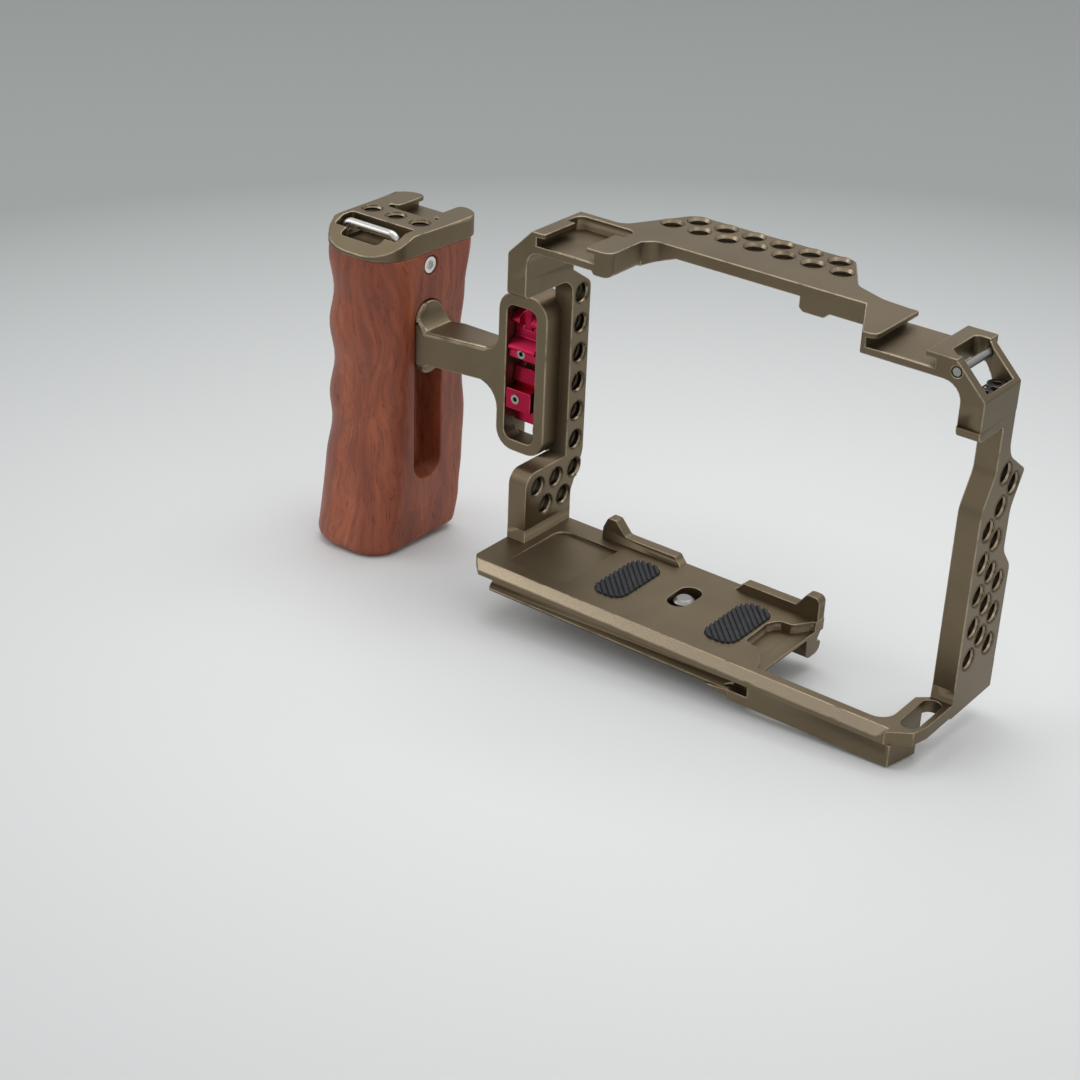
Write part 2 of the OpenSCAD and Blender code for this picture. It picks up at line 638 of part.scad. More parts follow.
module side_arm() {
    top = arm_z + arm_h / 2;
    bottom = arm_z - arm_h / 2;
    root = grip_face + land;
    color(bronze) difference() {
        union() {
            plate_xz([[frame_right, frame_z[0], 6], [frame_right, frame_z[1], 6],
                      [frame_left, frame_z[1], 6], [frame_left, top, 5],
                      [frame_left - 6, top], [frame_left - 6, bottom],
                      [frame_left, bottom, 7.5], [frame_left, frame_z[0], 6]],
                     frame_near, frame_far);
            // The arm widens towards the handle and flares into the outline of the foot
            intersection() {
                plate_xz([[frame_left - 5, bottom], [frame_left - 5, top],
                          [root, top, 5], [root, foot_z + foot_len / 2],
                          [foot_x[0], foot_z + foot_len / 2],
                          [foot_x[0], foot_z - foot_len / 2],
                          [root, foot_z - foot_len / 2], [root, bottom, 5]],
                         foot_y - foot_w, foot_y + foot_w);
                plate_xy([[frame_left - 5, frame_near], [root, foot_y - foot_w / 2],
                          [foot_x[0], foot_y - foot_w / 2],
                          [foot_x[0], foot_y + foot_w / 2], [root + 2, foot_y + foot_w / 2, 4],
                          [root + 6, frame_far, 4], [frame_left - 5, frame_far]],
                         foot_z - foot_len, foot_z + foot_len);
                union() {
                    obround_yz(foot_y, foot_z, foot_w, foot_len, foot_x[0], root + 3);
                    block([root + 0.01, foot_y - foot_w / 2, bottom],
                          [frame_left, frame_far, top]);
                }
            }
            // Plate that lies on the outside of the left post
            plate_xz([[back_x, frame_z[0] + 0.5], [left_out, frame_z[0] + 0.5],
                      [left_out, frame_z[1] - 2.6], [back_x, frame_z[1] - 2.6]],
                     arm_plane - 1, post_far);
        }
        // Window for cables, with rounded corners
        plate_xz([[window_x[0], window_z[0], 2.5], [window_x[1], window_z[0], 2.5],
                  [window_x[1], window_z[1], 2.5], [window_x[0], window_z[1], 2.5]],
                 frame_near - cut, arm_plane - 0.8);
        block([window_x[0], arm_plane - 1, window_z[0]],
              [back_x, post_far + cut, window_z[1]]);
        // Seat of the left post
        block([left_out, arm_plane, frame_z[0] - cut],
              [frame_right + cut, frame_far + cut, frame_z[1] + cut]);
        for (z = bolt_z)
            rod_x(foot_y, z, foot_x[0] - cut, foot_x[1] - 1.3, handle_bolt_d / 2 + run);
        for (z = arm_bolt_z) {
            rod_x(left_col_y, z, back_x - cut, left_out + cut, thread_core / 2 + 0.1);
            rod_x(left_col_y, z, window_x[0], back_x, 4.1);
        }
        for (z = rail_screw_z)
            rod_x(rail_y + 2, z, back_x - cut, left_out + cut, screw_d / 2 + run);
    }
}

module arm_bolts() {
    color(steel) for (z = arm_bolt_z)
        translate([back_x, left_col_y, z]) rotate([0, 90, 0])
            socket_screw(thread_core - 2 * run, 3.6 + 2.4, 7.6, 2.8, 4);
}

// ------------------------------------------------------------ cable clamp
rail_y = 13.6;
rail_x = [back_x - 5.8, back_x];
rail_z = [30.2, 56.4];
rail_screw_z = [left_col_z[2] + left_pitch / 2, left_col_z[3] + left_pitch / 2];
jaw_x = [window_x[0] + 0.3, window_x[1] - 0.7];
jaw_back = rail_y - slip;
hook_x = rail_x[0] - slip;
jaw_corner = 2.4;
jaw_screw_d = 2.9;
jaw_right = back_x - 0.2;
jaw_screw_x = rail_x[0] + 2.2;
upper_z = 48.8;
upper_screw_z = upper_z + 1.7;
lower_screw_z = 36.7;
lower_screw_x = rail_x[0] + 1.5;

module clamp_rail() {
    color(bronze) difference() {
        block([rail_x[0], rail_y, rail_z[0]], [rail_x[1], rail_y + 4, rail_z[1]]);
        for (z = rail_screw_z) {
            rod_x(rail_y + 2, z, rail_x[0] - cut, rail_x[1] + cut, screw_d / 2 + run);
            rod_x(rail_y + 2, z, rail_x[0] - cut, rail_x[0] + 1.4, 1.9);
        }
    }
}

module rail_screws() {
    color(steel) for (z = rail_screw_z)
        translate([rail_x[0] + 1.4, rail_y + 2, z]) rotate([0, 90, 0])
            socket_screw(screw_d, 2.4 + 3.6 + 3.8, 3.6, 1.2, 1.5);
}

// Hook that wraps the rail from its far side
module rail_hook(z0, z1) {
    block([jaw_x[0], jaw_back - 0.2, z0], [hook_x, rail_y + 5.2, z1]);
    block([jaw_x[0], rail_y + 4 + slip, z0], [hook_x + 1.6, rail_y + 5.2, z1]);
}

module jaw_outline(z0, z1) {
    plate_xz([[jaw_x[0], z0], [jaw_x[1], z0], [jaw_x[1], z1, jaw_corner],
              [jaw_x[0], z1, jaw_corner]], 6, rail_y + 6);
}

module upper_jaw() {
    color(red) intersection() {
        jaw_outline(upper_z - cut, upper_z + 15.4);
        difference() {
            union() {
                plate_yz([[jaw_back, upper_z], [7.7, upper_z, 0.5], [7.7, upper_z + 2.4],
                          [6.9, upper_z + 3, 0.3], [7.4, upper_z + 4],
                          [9.8, upper_z + 5.8, 0.6], [10.6, upper_z + 6.2],
                          [10.6, upper_z + 9.4], [8.3, upper_z + 10.8, 0.4],
                          [8.7, upper_z + 11.8], [12.2, upper_z + 15.4, 0.5],
                          [jaw_back, upper_z + 15.4]], jaw_x[0], jaw_x[1]);
                rail_hook(upper_z, upper_z + 7.2);
            }
            rod_z((jaw_x[0] + jaw_x[1]) / 2, 9.4, upper_z + 8.4, upper_z + 17, 2.1);
            rod_y(jaw_screw_x, upper_screw_z, 6, rail_y + 6, jaw_screw_d / 2 + run);
            block([jaw_right, arm_plane - 1.2, upper_z - cut],
                  [jaw_x[1] + cut, rail_y, upper_z + 17]);
        }
    }
}

module lower_jaw() {
    color(red) difference() {
        union() {
            plate_yz([[jaw_back, 28.3], [11, 28.3], [11, 40.2], [10.4, 40.5],
                      [10.4, 41.2], [11, 45.2, 0.4], [jaw_back, 45.2]], jaw_x[0], jaw_right);
            rail_hook(31, 45.2);
        }
        rod_y(lower_screw_x, lower_screw_z, 6, rail_y + 6, jaw_screw_d / 2 + run);
    }
}

module lower_block() {
    color(red) difference() {
        plate_xz([[jaw_x[0], 33.4, 0.4], [jaw_x[1] - 0.6, 33.4, 0.4],
                  [jaw_x[1] - 0.6, 39.6, 0.4], [jaw_x[0], 39.6, 0.4]], 6.9, 11);
        rod_y(lower_screw_x, lower_screw_z, 6, 12, jaw_screw_d / 2 + run);
    }
}

// Grub screw with a hexagon socket, seen from the operator's side
module grub_screw(x, z, y0) {
    difference() {
        rod_y(x, z, y0, rail_y - slip, jaw_screw_d / 2);
        translate([x, y0 + 2, z]) rotate([90, 0, 0]) cylinder(h = 3, d = 1.5, $fn = 6);
    }
}
module upper_jaw_screw() {
    color(steel) grub_screw(jaw_screw_x, upper_screw_z, 7.9);
}
module lower_jaw_screw() {
    color(steel) grub_screw(lower_screw_x, lower_screw_z, 6.7);
}

// ------------------------------------------------------------------- handle
grip_right = grip_face;
grip_left = grip_right - grip_w;
grip_near = foot_y - 16.6;
grip_far = grip_near + grip_depth;
grip_top = foot_z + 25.2;
grip_bottom = grip_top - grip_h;
cap_top = grip_top + cap_h;
slot_w = foot_w + 2 * slip;
slot_z = [foot_z - foot_len / 2 - handle_travel - 0.3, foot_z + foot_len / 2 + 0.1];
web_x0 = grip_right - foot_depth - slip;
web_x1 = web_x0 - web_t;
plate_t = 1.5;
outer_w = 13.4;
tongue = [grip_left + 9.5, grip_right - 9, foot_y - 4.2, foot_y + 7.8];
tongue_z = grip_top - 11.4;
cap_screw_y = foot_y + 2;
cap_screw_z = grip_top - 4;
cap_screw_seat = 3;

// Eased curve through stations of [height above the bottom, offset]
far_stations = [[0, -5.9], [11, -3.7], [24, -2.5], [38, -1.8], [50, -3],
                [64, -4.2], [77, -2.4], [92, 0.4], [120, 0.4]];
function eased(h, s, i = 0) =
    i >= len(s) - 2 || h < s[i + 1][0] ?
        let (t = min(max((h - s[i][0]) / (s[i + 1][0] - s[i][0]), 0), 1))
        s[i][1] + (s[i + 1][1] - s[i][1]) * (1 - cos(180 * t)) / 2 :
        eased(h, s, i + 1);
function far_side(h) = grip_far + eased(h, far_stations);
function near_side(h) = grip_near - 6.7 * pow(max(0, 58 - h) / 58, 2);
function wave(h) = wave_depth * (1 - cos(360 * (grip_h - 24.5 - h) / 22)) / 2 *
    min(1, max(0, (h - 24) / 16));
function section(h, inset = 0) =
    let (n = near_side(h) + inset, f = far_side(h) - inset, w = wave(h))
    rounded([[grip_right - inset - 2.4 * max(0, h / grip_h - 0.8) / 0.2, n + 0.2 * w,
              10 - inset],
             [grip_right - inset, f, 4.4 - inset],
             [grip_left + inset + 0.5 * w, f, 7 - inset],
             [grip_left + inset + 1.3 * w, n + 0.6 * w, 14 - inset]]);
edge_r = 2.6;
function ring_height(i) = i < 4 ? edge_r * (1 - cos(i * 30)) :
    edge_r + (grip_h - edge_r) * (i - 3) / (grip_ring_n - 3);
function ring_inset(i) = i < 4 ? edge_r * (1 - sin(i * 30)) : 0;
grip_ring_n = 38;

// Solid through a stack of outlines with the same number of points
module loft(rings, zs) {
    m = len(rings[0]);
    k = len(rings);
    pts = [for (i = [0:k - 1]) for (p = rings[i]) [p[0], p[1], zs[i]]];
    sides = [for (i = [0:k - 2]) for (j = [0:m - 1])
        each [[i * m + j, i * m + (j + 1) % m, (i + 1) * m + (j + 1) % m],
              [i * m + j, (i + 1) * m + (j + 1) % m, (i + 1) * m + j]]];
    ends = [[for (j = [0:m - 1]) m - 1 - j], [for (j = [0:m - 1]) (k - 1) * m + j]];
    polyhedron(points = pts, faces = concat([for (f = sides) [f[2], f[1], f[0]]],
        [[for (j = [0:m - 1]) j], [for (j = [0:m - 1]) (k - 1) * m + m - 1 - j]]));
}

module handle_grip() {
    heights = [for (i = [0:grip_ring_n]) ring_height(i)];
    color(wood) difference() {
        loft([for (i = [0:grip_ring_n]) section(heights[i], ring_inset(i))],
             [for (h = heights) grip_bottom + h]);
        // Slot of the foot, web for the bolts, and the wide slot of their heads
        obround_yz(foot_y, (slot_z[0] + slot_z[1]) / 2, slot_w, slot_z[1] - slot_z[0],
                   web_x0, grip_right + cut);
        obround_yz(foot_y, (slot_z[0] + slot_z[1]) / 2, handle_bolt_d + 0.8,
                   slot_z[1] - slot_z[0] - foot_len + handle_bolt_pitch + handle_bolt_d + 0.8,
                   web_x1 - cut, web_x0 + cut);
        obround_yz(foot_y, (slot_z[0] + slot_z[1]) / 2, outer_w,
                   slot_z[1] - slot_z[0] + 2.4, grip_left - cut, web_x1);
        // Pocket of the cap's tongue and its cross screws
        block([tongue[0] - slip, tongue[2] - slip, tongue_z - slip],
              [tongue[1] + slip, tongue[3] + slip, grip_top + cut]);
        rod_x(cap_screw_y, cap_screw_z, grip_left - cut, grip_right + cut,
              screw_d / 2 + 0.2);
        rod_x(cap_screw_y, cap_screw_z, grip_right - cap_screw_seat, grip_right + cut, 2.85);
        rod_x(cap_screw_y, cap_screw_z, grip_left - cut, grip_left + cap_screw_seat, 2.85);
    }
}

bar_y = grip_near + 11.4;
bar_r = 1.3;
bar_z = cap_top - bar_r - 0.1;
bar_bend = 2.4;
bar_x = [grip_left + 4.4, grip_right - 8];
bar_leg = 1.6;
groove_z = grip_top + 2.3;
bar_groove = [grip_left + 2.9, grip_right - 5.4, grip_near + 8.2, grip_near + 16];
bar_pocket = [grip_left + 7.7, grip_right - 9.8, grip_near + 5, grip_near + 16];
cap_shoe_x = grip_right - 15.8;
cap_hole_y = grip_near + 21.7;
cap_hole_x = [for (k = [-1:1]) cap_shoe_x - 1.6 + 9.2 * k];
cap_shoe_y = grip_near + 26.3;
cap_bevel = 1;

// Gap between the lips: as wide as the channel at its closed end, with rounded corners
module cap_shoe_gap(f) {
    a = cap_shoe_x - shoe_gap / 2;
    b = cap_shoe_x + shoe_gap / 2;
    w = shoe_channel / 2;
    y = cap_shoe_y + 2.2;
    r = 2;
    translate([0, 0, cap_top - shoe_lip_t - shoe_channel_h])
        linear_extrude(shoe_lip_t + shoe_channel_h + cut) polygon(concat(
            [[cap_shoe_x - w, cap_shoe_y], [cap_shoe_x + w, cap_shoe_y], [cap_shoe_x + w, y]],
            corner([b, y, r], [b + 1, y], [b, y + 1], 3),
            corner([b, f, r], [b, f - 1], [b + 1, f], 3),
            [[b + r, f + cut], [a - r, f + cut]],
            corner([a, f, r], [a - 1, f], [a, f - 1], 3),
            corner([a, y, r], [a, y + 1], [a - 1, y], 3), [[cap_shoe_x - w, y]]));
}

module handle_cap() {
    n = grip_near;
    f = grip_far + 3.2;
    color(bronze) difference() {
        union() {
            intersection() {
                plate_xy([[grip_right - 2.4, n, 10], [grip_right, f, 6.5],
                          [grip_left, f, 7], [grip_left, n, 14]], grip_top, cap_top);
                plate_xz([[grip_left, grip_top - cut], [grip_right, grip_top - cut],
                          [grip_right, cap_top - cap_bevel],
                          [grip_right - cap_bevel, cap_top],
                          [grip_left + cap_bevel, cap_top],
                          [grip_left, cap_top - cap_bevel]], n - cut, f + cut);
            }
            block([tongue[0], tongue[2], tongue_z], [tongue[1], tongue[3], grip_top + 0.5]);
        }
        // Nose that slopes down to the operator
        plate_yz([[n - cut, grip_top + 0.8], [n + 12, cap_top],
                  [n + 12, cap_top + cut], [n - cut, cap_top + cut]],
                 grip_left - cut, grip_right + cut);
        // Well under the strap bar, the groove it lies in and the holes of its legs
        plate_xy([[bar_pocket[0], bar_pocket[2], 1.5], [bar_pocket[1], bar_pocket[2], 1.5],
                  [bar_pocket[1], bar_pocket[3], 1.5], [bar_pocket[0], bar_pocket[3], 1.5]],
                 grip_top + 1, cap_top + cut);
        plate_xy([[bar_groove[0], bar_groove[2], 1], [bar_groove[1], bar_groove[2], 1],
                  [bar_groove[1], bar_groove[3], 1], [bar_groove[0], bar_groove[3], 1]],
                 groove_z, cap_top + cut);
        for (x = bar_x) rod_z(x, bar_y, groove_z - bar_leg - slip, cap_top, bar_r + run);
        for (x = cap_hole_x) {
            sink = (thread_mouth - thread_core) / 2;
            rod_z(x, cap_hole_y, grip_top + 0.6, cap_top + cut, thread_core / 2);
            translate([x, cap_hole_y, cap_top - sink])
                cylinder(h = sink + 0.01, d1 = thread_core, d2 = thread_mouth, $fn = 32);
        }
        // Cold shoe, open towards the lens side
        block([cap_shoe_x - shoe_channel / 2, cap_shoe_y, cap_top - shoe_lip_t - shoe_channel_h],
              [cap_shoe_x + shoe_channel / 2, f + cut, cap_top - shoe_lip_t]);
        cap_shoe_gap(f);
        // Small hole in the shoe's floor
        rod_z(cap_shoe_x + 1.6, cap_shoe_y + 9.8, cap_top - shoe_lip_t - shoe_channel_h - 1.2,
              cap_top, 0.45);
        for (s = [0, 1])
            rod_x(cap_screw_y, cap_screw_z, s == 0 ? tongue[0] - cut : tongue[1] - 4,
                  s == 0 ? tongue[0] + 4 : tongue[1] + cut, screw_d / 2 + run);
    }
}

module cap_screws() {
    color(steel) {
        translate([grip_right - cap_screw_seat, cap_screw_y, cap_screw_z]) rotate([0, -90, 0])
            socket_screw(screw_d, 9 - cap_screw_seat + 3.6, 5, 1.6, 2.9);
        translate([grip_left + cap_screw_seat, cap_screw_y, cap_screw_z]) rotate([0, 90, 0])
            socket_screw(screw_d, 9.5 - cap_screw_seat + 3.6, 5, 1.6, 2.9);
    }
}

// Round bar with both ends bent down into the cap
module cap_strap_bar() {
    color(steel) {
        rod_x(bar_y, bar_z, bar_x[0] + bar_bend, bar_x[1] - bar_bend, bar_r);
        for (side = [0, 1]) {
            translate([side == 0 ? bar_x[0] + bar_bend : bar_x[1] - bar_bend,
                       bar_y, bar_z - bar_bend])
                rotate([90, 0, 0]) rotate([0, 0, side == 0 ? 90 : 0])
                    rotate_extrude(angle = 90, $fn = 32)
                        translate([bar_bend, 0]) circle(r = bar_r, $fn = 32);
            rod_z(bar_x[side], bar_y, groove_z - bar_leg, bar_z - bar_bend, bar_r);
        }
    }
}

// Plate under the two bolt heads
module bolt_plate() {
    color(steel) difference() {
        obround_yz(foot_y, foot_z, 12.6, foot_len + 1, web_x1 - run - plate_t, web_x1 - run);
        for (z = bolt_z)
            rod_x(foot_y, z, web_x1 - run - plate_t - cut, web_x1 + cut, handle_bolt_d / 2 + 0.2);
    }
}

module handle_bolt(z) {
    color(steel) translate([web_x1 - 2 * run - plate_t, foot_y, z]) rotate([0, 90, 0])
        socket_screw(handle_bolt_d, plate_t + web_t + foot_depth - 1.6, 9.6, 5.4, 5);
}
module upper_handle_bolt() {
    handle_bolt(bolt_z[1]);
}
module lower_handle_bolt() {
    handle_bolt(bolt_z[0]);
}

// ------------------------------------------------------------- camera screw
neck_r = camera_screw_d / 2 - 0.75;
washer_t = 0.5;
washer_top = -slot_floor - slot_web - run;
clip_t = 0.4;
head_h = 2;
screw_tip = -0.25;
head_top = washer_top - washer_t - camera_screw_lift - clip_t - 2 * run;
clip_top = head_top + clip_t + run;

module ring_z(r_in, r_out, z0, z1) {
    difference() {
        rod_z(0, 0, z0, z1, r_out);
        rod_z(0, 0, z0 - cut, z1 + cut, r_in);
    }
}

module screw_washer() {
    color(steel) ring_z(neck_r + run, head_r - 0.6, washer_top - washer_t, washer_top);
}

module screw_clip() {
    color(steel) difference() {
        ring_z(neck_r - 0.5 + run, neck_r + 1.6, clip_top - clip_t, clip_top);
        block([-1, 0, clip_top - clip_t - cut], [1, neck_r + 3, clip_top + cut]);
    }
}

module camera_screw() {
    color(steel) difference() {
        union() {
            rod_z(0, 0, -slot_floor + run, screw_tip - 0.9, camera_screw_d / 2);
            translate([0, 0, screw_tip - 0.9])
                cylinder(h = 0.9, d1 = camera_screw_d, d2 = camera_screw_d - 2.4, $fn = 32);
            difference() {
                rod_z(0, 0, head_top - 0.1, -slot_floor + run + 0.1, neck_r);
                ring_z(neck_r - 0.5, neck_r + 1, clip_top - clip_t - run, clip_top + run);
            }
            rod_z(0, 0, head_top - head_h, head_top, head_r);
        }
        block([-head_r - cut, -0.7, head_top - head_h - cut], [head_r + cut, 0.7, head_top - 0.9]);
    }
}

base_plate();
rubber_pads();
left_post();
right_post();
top_frame();
base_screws_left();
base_screws_right();
top_screws_left();
top_screws_right();
strap_pin();
side_arm();
arm_bolts();
clamp_rail();
rail_screws();
upper_jaw();
upper_jaw_screw();
lower_jaw();
lower_block();
lower_jaw_screw();
bolt_plate();
upper_handle_bolt();
lower_handle_bolt();
handle_grip();
handle_cap();
cap_screws();
cap_strap_bar();
screw_washer();
screw_clip();
camera_screw();
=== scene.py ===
# %% [markdown]
# # A camera cage with a wooden side handle
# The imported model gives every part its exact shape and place, in metres.
# This script dresses those parts: it breaks their sharp edges, cuts real
# threads into their holes and gives each one a finish that is made of nodes.
# The camera comes first. The floor, the lamps and the room come last, and they
# matter as much as the finishes, because metal shows little but what is round it.

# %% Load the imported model
import json
import math

import bmesh
import bpy
from mathutils import Matrix, Vector


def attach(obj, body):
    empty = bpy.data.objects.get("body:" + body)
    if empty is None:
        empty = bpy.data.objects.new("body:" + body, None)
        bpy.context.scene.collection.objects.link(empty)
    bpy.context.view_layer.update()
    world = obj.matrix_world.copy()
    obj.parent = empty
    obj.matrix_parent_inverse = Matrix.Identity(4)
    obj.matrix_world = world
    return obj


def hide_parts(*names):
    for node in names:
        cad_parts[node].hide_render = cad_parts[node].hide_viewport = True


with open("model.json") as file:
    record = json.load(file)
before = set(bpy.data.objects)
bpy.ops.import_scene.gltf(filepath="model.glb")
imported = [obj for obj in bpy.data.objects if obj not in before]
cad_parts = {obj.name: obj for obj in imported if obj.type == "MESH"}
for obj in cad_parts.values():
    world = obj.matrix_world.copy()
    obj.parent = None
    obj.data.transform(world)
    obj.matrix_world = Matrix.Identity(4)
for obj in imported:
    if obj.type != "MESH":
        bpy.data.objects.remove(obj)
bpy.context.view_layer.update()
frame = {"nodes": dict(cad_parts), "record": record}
MM = 0.001
print("parts in the model:", len(frame["nodes"]))

# %% [markdown]
# A perspective camera is a place, a direction and a focal length. Here the
# direction is written as it is said: how far round the object the camera
# stands, how far above the horizon, and how much it leans. Three unit vectors
# follow from those angles, and together they are the camera's matrix.

# %% Camera
camera_place = Vector((267.5, -425.1, 286.1)) * MM
camera_round = math.radians(36.78)
camera_above = math.radians(28.36)
camera_lean = math.radians(2.31)


def camera_matrix():
    back = Vector((math.sin(camera_round) * math.cos(camera_above),
                   -math.cos(camera_round) * math.cos(camera_above),
                   math.sin(camera_above)))
    level = Vector((math.cos(camera_round), math.sin(camera_round), 0))
    up = back.cross(level)
    right = level * math.cos(camera_lean) + up * math.sin(camera_lean)
    up = up * math.cos(camera_lean) - level * math.sin(camera_lean)
    turn = Matrix((right, up, back)).transposed()
    return Matrix.Translation(camera_place) @ turn.to_4x4()


lens = bpy.data.cameras.new("camera")
lens.lens, lens.sensor_width = 69.94, 36
lens.clip_start, lens.clip_end = 0.02, 30
camera = bpy.data.objects.new("camera", lens)
bpy.context.scene.collection.objects.link(camera)
camera.matrix_world = camera_matrix()
bpy.context.scene.camera = camera
bpy.context.scene.view_settings.view_transform = "Standard"
print("camera at", [round(v, 3) for v in camera_place], "with a lens of", lens.lens)

# %% [markdown]
# Shader maths reads best as maths. This small class wraps a socket, so that
# `1 - mask` or `grain * 0.2 + base` adds the Math nodes by itself. Every
# other node comes from `node`, which sets the node's own settings first and
# then fills or links its sockets. The Mix node has sockets for numbers, for
# vectors and for colours under the same names, so the three for colours are
# picked by their numbers.


# %% Shader maths
mix_first, mix_second, mix_result = 6, 7, 2


class SocketMath:
    def __init__(self, tree, socket=None):
        self.tree, self.socket = tree, socket

    def node(self, kind, settings=None, inputs=None, out=0):
        made = self.tree.nodes.new("ShaderNode" + kind)
        for key, value in (settings or {}).items():
            if key == "stops":
                ramp = made.color_ramp.elements
                while len(ramp) < len(value):
                    ramp.new(0.5)
                for stop, (place, colour) in zip(ramp, value):
                    stop.position, stop.color = place, (*colour, 1)
            else:
                setattr(made, key, value)
        for key, value in (inputs or {}).items():
            socket = made.inputs[key]
            if isinstance(value, SocketMath):
                self.tree.links.new(value.socket, socket)
            elif isinstance(value, tuple) and socket.type == "RGBA":
                socket.default_value = (*value, 1)
            else:
                socket.default_value = value
        return SocketMath(self.tree, made.outputs[out])

    def maths(self, operation, a, b):
        return self.node("Math", {"operation": operation}, {0: a, 1: b})

    def __add__(self, other):
        return self.maths("ADD", self, other)

    def __sub__(self, other):
        return self.maths("SUBTRACT", self, other)

    def __rsub__(self, other):
        return self.maths("SUBTRACT", other, self)

    def __mul__(self, other):
        return self.maths("MULTIPLY", self, other)

    def __lt__(self, other):
        return self.maths("LESS_THAN", self, other)

    def __gt__(self, other):
        return self.maths("GREATER_THAN", self, other)

    def clamp(self, low, high):
        """0 up to `low`, 1 from `high` on, and a straight rise between them."""
        return self.node("MapRange", None,
                         {"Value": self, "From Min": low, "From Max": high})

    def mix(self, first, second):
        """The first colour where this is 0 and the second where it is 1."""
        return self.node("Mix", {"data_type": "RGBA"},
                         {"Factor": self, mix_first: first, mix_second: second},
                         mix_result)


# %% [markdown]
# Each finish is one Principled shader with patterns wired into it. The
# patterns are noises in the object's own space. That space is in metres, so a
# noise of scale 5200 has spots of a fifth of a millimetre, and a stretch below
# 1 along an axis draws them out along it.


# %% Materials, patterns and noises
def finish(name, **settings):
    """A new material; returns it with a wrapper for its nodes and its shader."""
    material = bpy.data.materials.new(name)
    material.use_nodes = True
    tree = material.node_tree
    shader = tree.nodes["Principled BSDF"]
    for key, value in settings.items():
        socket = key.replace("_", " ").title().replace("Ior", "IOR")
        shader.inputs[socket].default_value = value
    return material, SocketMath(tree), shader


def wire(paint, shader, **sockets):
    for key, value in sockets.items():
        paint.tree.links.new(value.socket, shader.inputs[key.replace("_", " ").title()])


def pattern_space(paint, stretch=(1, 1, 1)):
    where = paint.node("TexCoord", out="Object")
    return paint.node("Mapping", None, {"Vector": where, "Scale": stretch})


def noise(paint, where, scale, detail, rough=0.5):
    return paint.node("TexNoise", None, {"Vector": where, "Scale": scale,
                                         "Detail": detail, "Roughness": rough})


# %% [markdown]
# The frame is aluminium, blasted with fine beads and then anodised bronze.
# Blasting leaves a grain of one or two tenths of a millimetre, far too fine to
# model, so a noise feeds a Bump node. The dye lies a little unevenly. Broken
# edges are made lighter in patches: partly metal rubbed bare, partly a painted
# highlight for the light that edges catch. A face attribute named `edge` says
# which faces those are: it is 0 on a plain face, 1 on a broken edge, 2 on a
# wide bevel that is lighter all over, bare metal and painted highlight, and -1
# deep in a thread, where the colour is darkened as painted shade. The limits
# in the shader lie half-way between these marks. A noise averages a half, so
# the roughness that is asked for loses half of what the noises add.

# %% Anodised finishes
edge_plain, edge_broken, edge_bare_and_highlit, thread_painted_shade = 0.0, 1.0, 2.0, -1.0


def anodised(name, deep, pale, wear_and_highlight_colour, thread_shade_colour, rough, grain_height):
    material, paint, shader = finish(name, metallic=1.0)
    where = pattern_space(paint)
    cloud = noise(paint, where, 55, 3)
    rub_and_glint = noise(paint, where, 170, 3, 0.6)
    grain = noise(paint, where, 5200, 2, 0.6)
    edge = paint.node("Attribute", {"attribute_name": "edge"}, out="Fac")
    # Lighter edges: partly metal rubbed bare, partly a painted highlight; wide bevels get
    # it all over.
    worn_and_highlit = (edge > 0.5) * rub_and_glint.clamp(0.32, 0.52) + (edge > 1.5)
    body = cloud.clamp(0.3, 0.7).mix(deep, pale)
    # Faces deep in a thread are darkened: painted shade, not a colour of the metal.
    body_with_thread_shade = (edge < -0.5).mix(body, thread_shade_colour)
    colour = worn_and_highlit.clamp(0.0, 1.0).mix(body_with_thread_shade, wear_and_highlight_colour)
    wire(paint, shader, base_color=colour,
         roughness=grain * 0.10 + cloud * 0.08 + (rough - 0.09) - worn_and_highlit * 0.10,
         normal=paint.node("Bump", None, {"Strength": 0.35, "Distance": grain_height,
                                          "Height": grain}))
    return material


# Each finish: two tones of its body, its lighter edges, partly a painted highlight, and
# painted shade for its threads.
bronze = anodised("bronze_anodised", (0.172, 0.134, 0.084), (0.204, 0.160, 0.102),
                  (0.37, 0.30, 0.21), (0.075, 0.060, 0.040), 0.44, 0.04 * MM)
red = anodised("red_anodised", (0.36, 0.012, 0.045), (0.46, 0.018, 0.062),
               (0.70, 0.07, 0.13), (0.12, 0.004, 0.012), 0.30, 0.02 * MM)
print("anodised finishes:", bronze.name, red.name)

# %% [markdown]
# Screws, pins and the strap bar are steel. Turning leaves fine lines on them
# and handling leaves faint smudges, and both are variations in roughness.
# Plated, dull and dark screws are the same finish in other tones.


# %% Steel
def bare_steel(name, colour, rough):
    material, paint, shader = finish(name, metallic=1.0)
    where = pattern_space(paint)
    smudge = noise(paint, where, 240, 3)
    lines = noise(paint, pattern_space(paint, (1, 1, 6)), 700, 2)
    smudged = tuple(0.93 * part for part in colour)
    wire(paint, shader,
         base_color=smudge.clamp(0.25, 0.75).mix(colour, smudged),
         roughness=smudge * 0.10 + lines * 0.06 + (rough - 0.08),
         normal=paint.node("Bump", None, {"Strength": 0.12, "Distance": 0.01 * MM,
                                          "Height": lines}))
    return material


steel = bare_steel("bright_steel", (0.66, 0.65, 0.62), 0.26)
plated_steel = bare_steel("plated_steel", (0.72, 0.71, 0.68), 0.22)
dull_steel = bare_steel("dull_steel", (0.36, 0.355, 0.34), 0.30)
dark_steel = bare_steel("dark_steel", (0.20, 0.193, 0.18), 0.33)
print("steels:", [tone.name for tone in (steel, plated_steel, dull_steel, dark_steel)])

